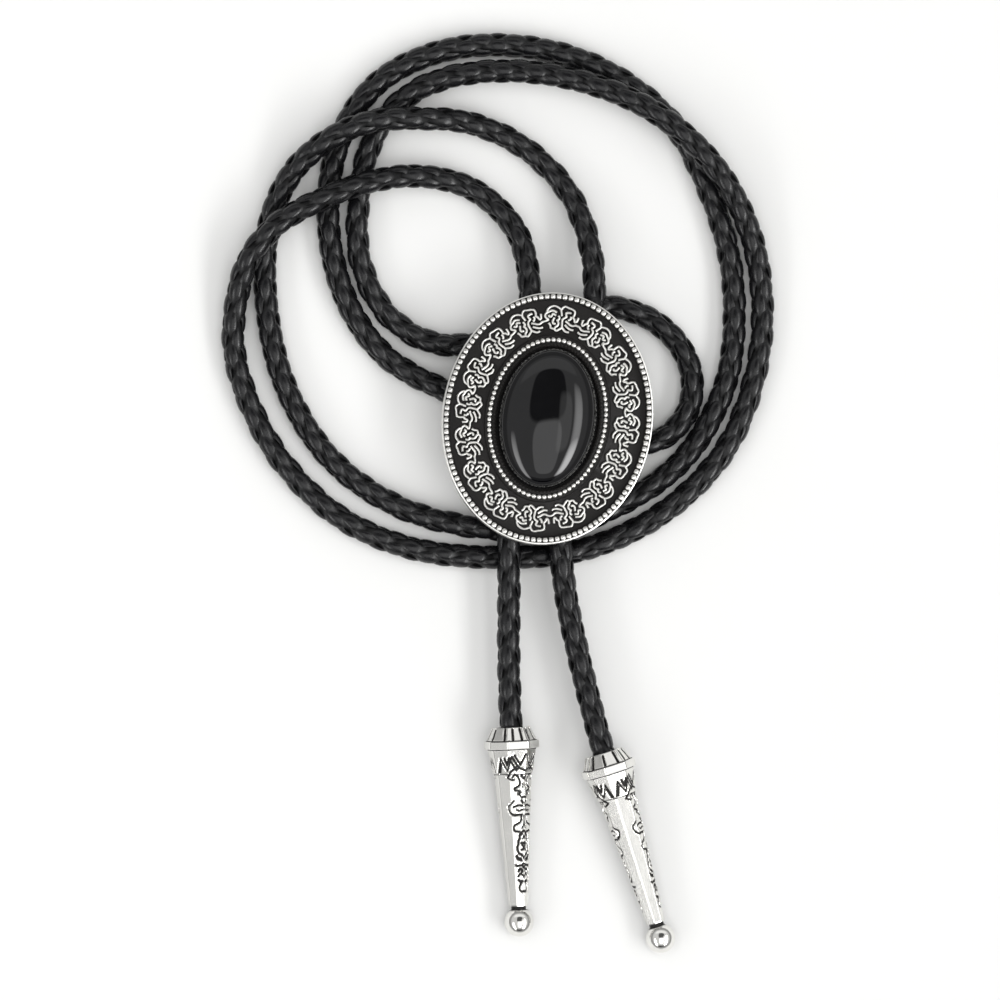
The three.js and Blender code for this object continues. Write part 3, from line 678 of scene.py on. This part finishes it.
class BOLO_OT_cord(bpy.types.Operator):
    """Braid six leather strands along the cord's route"""

    bl_idname = "bolo.cord"
    bl_label = "Cord"

    STEPS_TO_A_PITCH = 27
    STRANDS_EACH_WAY = 3
    # How much of its turning a strand leaves to the stretch under its neighbour
    STRAIGHTNESS = 0.71
    # How flat the top of its rise is
    CROWN = 1.6
    # The braid's own turn in degrees, at shares of the cord's length
    TWIST_AT = (0, 0.06, 0.94, 1)
    TWIST = (5, 5, 446, 446)
    # A strand's section, as shares of its half width and half thickness
    SECTION_WIDE = (1, 0.88, 0.5, 0, -0.5, -0.88, -1, -0.6, 0.6)
    SECTION_THICK = (0.1, 0.72, 0.97, 1, 0.97, 0.72, 0.1, -0.9, -0.9)
    CORE_STEP = 6
    CORE_SIDES = 6

    def execute(self, context):
        sizes = context.scene.bolo_sizes
        route = [(x * MM + MIDDLE.x, y * MM + MIDDLE.y, max((CORD_HEIGHT, *height)) * MM)
                 for x, y, *height in ROUTE]
        marks, middle = even_path(route, sizes.braid_pitch / self.STEPS_TO_A_PITCH)
        middle[:, 2] = np.maximum(middle[:, 2], CORD_HEIGHT * MM)
        ahead = unit(np.gradient(middle, axis=0))
        side = unit(np.cross([0, 0, 1], ahead))
        over = np.cross(ahead, side)
        around = 2 * math.pi * marks / sizes.braid_pitch
        twist = np.radians(np.interp(marks / marks[-1], self.TWIST_AT, self.TWIST))
        share = math.pi / self.STRANDS_EACH_WAY
        tubes = []
        for hand, start in ((1, 1), (-1, 0)):
            for phase in np.arange(self.STRANDS_EACH_WAY) * 2 * share:
                # A strand runs nearly straight while it shows and turns quickly under its neighbours.
                # Its stage goes from -1, under one, past 0, on top, to 1, under the next.
                stage = (around / share + start) % 2 - 1
                delay = self.STRAIGHTNESS * share * (stage - stage ** 3)
                turn = hand * (around - delay) + phase + twist
                outward = np.cos(turn)[:, None] * side + np.sin(turn)[:, None] * over
                lift = np.cos(math.pi * np.abs(stage) ** self.CROWN)
                tubes.append(self.strand(sizes, marks, middle, outward, lift))
        tubes.append(self.core(sizes, marks, middle, side, over))
        corners, faces, heights, flat = [], [], [], []
        for grid, height, plan in tubes:
            faces += tube_faces(len(grid), grid.shape[1], sum(len(c) for c in corners))
            corners.append(grid.reshape(-1, 3))
            heights.append(height.ravel())
            flat.append(plan.reshape(-1, 2))

        piece = mesh_piece("braided_cord", np.vstack(corners), faces)
        set_attribute(piece.data, "height", np.concatenate(heights))
        layer = piece.data.uv_layers.new(name="strand")
        corner_of = np.empty(len(piece.data.loops), dtype=np.int32)
        piece.data.loops.foreach_get("vertex_index", corner_of)
        layer.data.foreach_set("uv", np.vstack(flat)[corner_of].ravel())
        finish_piece(piece, 70, braided_leather(context.scene.bolo_colours), "cord")
        return {"FINISHED"}

    def strand(self, sizes, marks, middle, outward, lift):
        """One flat strand, which rises over one neighbour and dips under the next."""
        half_width, half_thickness = sizes.strand_width / 2, sizes.strand_thickness / 2
        outer = sizes.braid_diameter / 2
        swing = 0.5 * sizes.strand_thickness
        rest = outer - half_thickness - swing
        line = middle + outward * (rest + swing * lift)[:, None]
        along = unit(np.gradient(line, axis=0))
        across = unit(np.cross(along, outward))
        wide = np.array(self.SECTION_WIDE) * half_width
        thick = np.array(self.SECTION_THICK) * half_thickness
        # It is pinched where it is under, and bends round nearly as tightly as the braid does
        pinch = (0.92 + 0.08 * lift)[:, None]
        droop = wide ** 2 / (2 * 1.15 * outer)
        offset = across[:, None, :] * (wide[None, :] * pinch)[:, :, None]
        offset = offset + outward[:, None, :] * (thick - droop)[None, :, None]
        grid = line[:, None, :] + offset
        reach = np.linalg.norm(grid - middle[:, None, :], axis=2) / outer
        unrolled = np.arange(len(wide)) * half_width / 3
        plan = np.stack(np.broadcast_arrays(marks[:, None], unrolled), axis=2)
        return grid, np.clip((reach - 0.4) / 0.6, 0, 1), plan

    def core(self, sizes, marks, middle, side, over):
        """The filler inside the braid, seen only as darkness between the strands."""
        turn = np.linspace(0, 2 * math.pi, self.CORE_SIDES, endpoint=False)[None, :, None]
        marks, middle, side, over = (rows[::self.CORE_STEP, None] for rows in (marks, middle, side, over))
        grid = middle + (np.cos(turn) * side + np.sin(turn) * over) * sizes.braid_diameter * 0.22
        plan = np.stack(np.broadcast_arrays(marks, turn[:, :, 0] * MM), axis=2)
        return grid, np.zeros(grid.shape[:2]), plan


class BOLO_OT_medallion(bpy.types.Operator):
    """Raise the oval plate with its rim, field, collar and bezel"""

    bl_idname = "bolo.medallion"
    bl_label = "Medallion plate"

    def execute(self, context):
        rings = [(offset * MM, height * MM) for offset, height, _ in MEDALLION_RINGS]
        bpy.ops.mesh.primitive_circle_add(vertices=OVAL_CORNERS, radius=1, fill_type="NGON")
        edit_all()
        offset, height = rings[0]
        resize_selected(*half_axes(offset))
        bpy.ops.mesh.flip_normals()
        bpy.ops.mesh.select_mode(type="EDGE")
        for next_offset, next_height in rings[1:]:
            extrude_up(next_height - height)
            resize_selected(*(half_axes(next_offset) / half_axes(offset)))
            offset, height = next_offset, next_height
        close_outward()
        plate = context.object
        worn = [worn for _, _, worn in MEDALLION_RINGS]
        set_attribute(plate.data, "worn", np.repeat(worn, OVAL_CORNERS))
        plate.data.transform(medallion_place())
        plate.name = "medallion_plate"
        silver = buffed_casting(context.scene.bolo_colours)
        finish_piece(plate, 40, silver, "medallion")
        return {"FINISHED"}


class BOLO_OT_scroll(bpy.types.Operator):
    """Lay the raised flower scroll round the field"""

    bl_idname = "bolo.scroll"
    bl_label = "Flower scroll"

    def execute(self, context):
        sizes = context.scene.bolo_sizes
        walk = oval_walk(ORNAMENT_OFFSET)
        data = bpy.data.curves.new("flower_scroll", "CURVE")
        data.dimensions = "3D"
        data.resolution_u = 3
        data.bevel_depth = sizes.rib_width / 2
        data.bevel_resolution = 2
        data.use_fill_caps = True
        for repeat, facing in enumerate(SCROLL_FACING):
            for line in SCROLL_LINES:
                spline = data.splines.new("BEZIER")
                spline.bezier_points.add(len(line) - 1)
                for point, (along, across) in zip(spline.bezier_points, line):
                    place, normal = walk((repeat + facing * along / SCROLL_REPEAT) / len(SCROLL_FACING))
                    place = place + normal * across * MM
                    point.co = (*place, 0)
                    point.handle_left_type = point.handle_right_type = "AUTO"
        curve = bpy.data.objects.new("flower_scroll", data)
        context.collection.objects.link(curve)
        select_only(curve)
        bpy.ops.object.convert(target="MESH")
        scroll = context.object
        # A rib's foot is in the field and its round back stands up by the rib's height
        deep = 1.25 * sizes.rib_height
        stretch = Matrix.Diagonal((1, 1, deep / sizes.rib_width, 1))
        scroll.data.transform(medallion_place(FIELD_HEIGHT + sizes.rib_height - deep / 2) @ stretch)
        worn_by_height(scroll, FIELD_HEIGHT + 0.02 * MM, FIELD_HEIGHT + sizes.rib_height * 0.55)
        silver = buffed_casting(context.scene.bolo_colours)
        finish_piece(scroll, 60, silver, "medallion")
        return {"FINISHED"}


class BOLO_OT_beads(bpy.types.Operator):
    """Set the rim's squarish beads, the ring of round ones and the bezel's small black ones"""

    bl_idname = "bolo.beads"
    bl_label = "Beading"

    def execute(self, context):
        sizes = context.scene.bolo_sizes
        silver = buffed_casting(context.scene.bolo_colours)
        for name, pattern, offset, count, foot, worn_from, worn_to in (
                ("rim_beads", self.square_bead, RIM_BEAD_OFFSET, sizes.rim_beads, 2.5, 2.5, 2.62),
                ("ring_beads", self.ring_bead, RING_BEAD_OFFSET, sizes.ring_beads, 2.14, 2.16, 2.3),
                ("bezel_beads", self.bezel_bead, BEZEL_BEAD_OFFSET, sizes.bezel_beads, 2.36, 2.4, 6.0)):
            beads = join(copies_round_oval(pattern(), offset, count, foot * MM), name)
            worn_by_height(beads, worn_from * MM, worn_to * MM)
            finish_piece(beads, 50, silver, "medallion")
        return {"FINISHED"}

    def square_bead(self):
        """A cube with its edges rounded."""
        bpy.ops.mesh.primitive_cube_add(size=1)
        bead = bpy.context.object
        scale_piece(bead, 0.94 * MM, 0.96 * MM, 0.94 * MM)
        edit_all()
        bpy.ops.mesh.bevel(offset=0.3 * MM, segments=2, profile=0.5, affect="EDGES")
        bpy.ops.object.mode_set(mode="OBJECT")
        return bead

    def ring_bead(self):
        return self.round_bead(0.5, 0.44)

    def bezel_bead(self):
        return self.round_bead(0.3, 0.26)

    def round_bead(self, radius, height):
        bpy.ops.mesh.primitive_ico_sphere_add(subdivisions=2, radius=1)
        bead = bpy.context.object
        scale_piece(bead, radius * MM, radius * MM, height * MM)
        return bead


class BOLO_OT_stone(bpy.types.Operator):
    """Cut and polish the black cabochon"""

    bl_idname = "bolo.stone"
    bl_label = "Stone"

    def execute(self, context):
        chamfer = 0.15 * MM
        bpy.ops.mesh.primitive_uv_sphere_add(segments=96, ring_count=64, radius=1)
        edit_all()
        bpy.ops.mesh.bisect(plane_co=(0, 0, 0.001), plane_no=(0, 0, 1), clear_inner=True)
        bpy.ops.mesh.select_all(action="SELECT")
        resize_selected(STONE_HALF_WIDTH, STONE_HALF_LENGTH, context.scene.bolo_sizes.dome_height)
        bpy.ops.mesh.select_all(action="DESELECT")
        bpy.ops.mesh.select_mode(type="EDGE")
        bpy.ops.mesh.select_non_manifold()
        extrude_up(-GIRDLE_HEIGHT + chamfer)
        extrude_up(-chamfer)
        resize_selected(0.985, 0.985)
        close_outward()
        stone = context.object
        stone.name = "cabochon"
        stone.data.transform(medallion_place(STONE_LOW[2] - BACK + GIRDLE_HEIGHT))
        finish_piece(stone, 40, polished_onyx(context.scene.bolo_colours), "stone")
        return {"FINISHED"}


class BOLO_OT_slide(bpy.types.Operator):
    """Roll the slide's two tubes and lay its plate over them"""

    bl_idname = "bolo.slide"
    bl_label = "Slide"

    def execute(self, context):
        length, wall, spacing, outer = 16 * MM, 0.7 * MM, 11.5 * MM, 3.05 * MM
        plate_inset, edge = 2.1 * MM, 0.12 * MM
        top = SLIDE_TOP - BACK
        parts = []
        for side in (-1, 1):
            bpy.ops.mesh.primitive_cylinder_add(
                vertices=48, radius=outer, depth=length, end_fill_type="NOTHING",
                location=(side * spacing / 2, 0, top - outer), rotation=(math.pi / 2, 0, 0))
            tube = context.object
            solidify = tube.modifiers.new("wall", "SOLIDIFY")
            solidify.thickness = wall
            solidify.offset = -1
            bevel = tube.modifiers.new("edge", "BEVEL")
            bevel.width = edge
            bevel.segments = 2
            for modifier in ("wall", "edge"):
                bpy.ops.object.modifier_apply(modifier=modifier)
            parts.append(tube)
        bpy.ops.mesh.primitive_cube_add(size=1, location=(0, 0, top - wall / 2))
        plate = context.object
        scale_piece(plate, spacing + 2 * (outer - plate_inset), length, wall)
        edit_all()
        bpy.ops.mesh.bevel(offset=edge, segments=2, affect="EDGES")
        bpy.ops.object.mode_set(mode="OBJECT")
        slide = join([*parts, plate], "cord_slide")
        slide.data.transform(medallion_place())
        finish_piece(slide, 40, satin_steel(context.scene.bolo_colours), "slide_clasp")
        return {"FINISHED"}


def tip_place(x, y, lean, roll):
    """A tip lies on its ball and on the flange's corner that is nearest to the table."""
    step = 360 / TIP_SIDES
    from_corner = (roll + step / 2) % step - step / 2
    reach = FLANGE_RADIUS * math.cos(math.radians(from_corner))
    run = BALL_STATION - FLANGE_END
    slope = math.acos(BALL_RADIUS / math.hypot(reach, run)) - math.atan2(run, reach)
    height = reach * math.cos(slope) + FLANGE_END * math.sin(slope)
    turn = (Matrix.Rotation(math.radians(lean), 4, "Z") @ Matrix.Rotation(slope, 4, "X")
            @ Matrix.Rotation(math.radians(roll), 4, "Y"))
    return Matrix.Translation((MIDDLE.x + x * MM, MIDDLE.y + y * MM, height * MM)) @ turn


def distance_to_line(across, station, line):
    """How far points lie from a line, all in millimetres."""
    nearest = np.full(across.shape, np.inf)
    for (x0, s0), (x1, s1) in zip(line, line[1:]):
        dx, ds = x1 - x0, s1 - s0
        share = np.clip(((across - x0) * dx + (station - s0) * ds) / (dx * dx + ds * ds), 0, 1)
        nearest = np.minimum(nearest, np.hypot(across - x0 - share * dx, station - s0 - share * ds))
    return nearest


class BOLO_OT_tips(bpy.types.Operator):
    """Cast the two eight-sided tips with their flutes, lined band, engraving and ball"""

    bl_idname = "bolo.tips"
    bl_label = "Tips"

    # How finely the skin is divided: over each flat face, along the outline in millimetres, and over
    # the ball
    STEPS_TO_A_FACE = 26
    ROW_STEP = 0.15
    BALL_ROWS = 36

    def execute(self, context):
        sizes = context.scene.bolo_sizes
        silver = oxidised_silver("polished_casting", context.scene.bolo_colours, 0.1)
        skin, worn, faces = self.casting(sizes)
        for name, x, y, lean, roll in TIPS:
            tip = mesh_piece(f"{name}_casting", skin * MM, faces)
            set_attribute(tip.data, "worn", worn)
            tip.data.transform(tip_place(x, y, lean, roll))
            self.check_place(tip, name)
            finish_piece(tip, 32, silver, name)
        return {"FINISHED"}

    def check_place(self, tip, node):
        """The finished tip stays where the node is."""
        points = np.array([v.co for v in tip.data.vertices])
        low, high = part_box(node)
        apart = max(np.abs(points.min(axis=0) - low).max(), np.abs(points.max(axis=0) - high).max())
        if apart > 0.4 * MM:
            raise RuntimeError(f"{node} lies {apart / MM:.2f} mm from its place")

    def rows(self):
        """The outline cut into short steps, with the ball's rings after the neck, and the number of the
        first row that lies on the outside."""
        rows = list(TIP_ROWS)
        neck = math.asin(TIP_ROWS[-1][1] / BALL_RADIUS)
        for turn in np.linspace(neck, math.pi, self.BALL_ROWS):
            station = BALL_STATION - BALL_RADIUS * math.cos(turn)
            radius = max(BALL_RADIUS * math.sin(turn), 0.0)
            rows.append((station, radius, 1, min(1.0, 0.1 + 3 * (turn - neck))))
        cut = [rows[0]]
        for number, (before, after) in enumerate(zip(rows, rows[1:])):
            if number == FIRST_OUTER_ROW:
                first_outer = len(cut)
            span = math.hypot(after[0] - before[0], after[1] - before[1])
            count = max(1, math.ceil(span / self.ROW_STEP))
            for i in range(1, count + 1):
                cut.append(tuple(a + (b - a) * i / count for a, b in zip(before, after)))
        return np.array(cut), first_outer

    def casting(self, sizes):
        """The whole casting as one closed skin round its own Y axis."""
        rows, first_outer = self.rows()
        station, radius, roundness, worn = (rows[:, i][:, None] for i in range(4))
        half = math.pi / TIP_SIDES
        steps = self.STEPS_TO_A_FACE
        within = np.arctan(np.linspace(-1, 1, steps, endpoint=False) * math.tan(half))
        within = np.tile(within, TIP_SIDES)[None, :]
        face = np.repeat(np.arange(TIP_SIDES), steps)[None, :]
        angle = (face + 0.5) * 2 * half + within
        # The flat sides meet at ridges that are rounded off a little
        flat = np.minimum(radius * math.cos(half) / np.cos(within), radius * 0.988)
        reach = flat * (1 - roundness) + radius * roundness
        across = radius * math.cos(half) * np.tan(within)
        cut = self.cuts(face, across / (radius * math.sin(half) + 1e-6), station, first_outer)
        reach = reach - cut * sizes.engraving_depth / MM
        worn = np.clip(worn - 1.1 * cut, 0, 1)
        along = np.broadcast_to(-station, reach.shape)
        grid = np.stack([reach * np.sin(angle), along, reach * np.cos(angle)], axis=2)
        skin, faces = self.close_poles(grid)
        return skin, np.concatenate([worn[1:-1].ravel(), [worn[0].mean(), worn[-1].mean()]]), faces

    def close_poles(self, grid):
        """The first and last rows are single points: each is met by a fan of triangles."""
        rows, count = len(grid) - 2, grid.shape[1]
        corners = np.vstack([grid[1:-1].reshape(-1, 3), grid[0].mean(axis=0), grid[-1].mean(axis=0)])
        faces = [face[::-1] for face in tube_faces(rows, count, 0)[:-2]]
        first, last, last_row = rows * count, rows * count + 1, (rows - 1) * count
        for i in range(count):
            after = (i + 1) % count
            faces += [(i, after, first), (last_row + after, last_row + i, last)]
        return corners, faces

    def cuts(self, face, across, station, first_outer):
        """How deep the lines are cut, from 0 to 1, over the whole skin."""
        place = 1 - np.abs(face % 4 - 2 + (across + 1) / 2)
        stations, radii, *_ = zip(*TIP_ROWS[FIRST_OUTER_ROW:])

        def face_width(at):
            return 2 * math.sin(math.pi / TIP_SIDES) * np.interp(at, stations, radii)

        widths = face_width(station)
        cut = np.zeros(place.shape)
        for width, line in TIP_LINES:
            low, high = min(s for _, s in line) - 1, max(s for _, s in line) + 1
            near = (station[:, 0] > low) & (station[:, 0] < high)
            local = [(v * float(face_width(s)), s) for v, s in line]
            level = np.broadcast_to(station, place.shape)[near]
            distance = distance_to_line(place[near] * widths[near], level, local)
            depth = np.clip((1.05 * width - distance) / (0.55 * width), 0, 1)
            cut[near] = np.maximum(cut[near], depth)
        outside = (station > 0.2) & (station < SHAFT_END)
        return np.where(outside & (np.arange(len(cut))[:, None] >= first_outer), cut, 0)


class BOLO_PT_panel(bpy.types.Panel):
    """Lists the bolo tie's pieces in the order in which they are made"""

    bl_idname = "BOLO_PT_panel"
    bl_label = "Bolo Tie"
    bl_space_type = "VIEW_3D"
    bl_region_type = "UI"
    bl_category = "Bolo Tie"

    def draw(self, context):
        for step in STEPS:
            self.layout.operator(step.bl_idname)
        for group in (context.scene.bolo_sizes, context.scene.bolo_colours):
            box = self.layout.box()
            for name in group.__annotations__:
                box.prop(group, name)


STEPS = (BOLO_OT_stage, BOLO_OT_cord, BOLO_OT_medallion, BOLO_OT_scroll, BOLO_OT_beads, BOLO_OT_stone,
         BOLO_OT_slide, BOLO_OT_tips)
CLASSES = (BoloTieSizes, BoloTieColours, *STEPS, BOLO_PT_panel)


def register():
    for cls in CLASSES:
        bpy.utils.register_class(cls)
    bpy.types.Scene.bolo_sizes = PointerProperty(type=BoloTieSizes)
    bpy.types.Scene.bolo_colours = PointerProperty(type=BoloTieColours)


def unregister():
    del bpy.types.Scene.bolo_colours
    del bpy.types.Scene.bolo_sizes
    for cls in reversed(CLASSES):
        bpy.utils.unregister_class(cls)


def main():
    register()
    bpy.ops.bolo.stage()
    bpy.ops.bolo.cord()
    bpy.ops.bolo.medallion()
    bpy.ops.bolo.scroll()
    bpy.ops.bolo.beads()
    bpy.ops.bolo.stone()
    bpy.ops.bolo.slide()
    bpy.ops.bolo.tips()


if __name__ == "__main__":
    main()
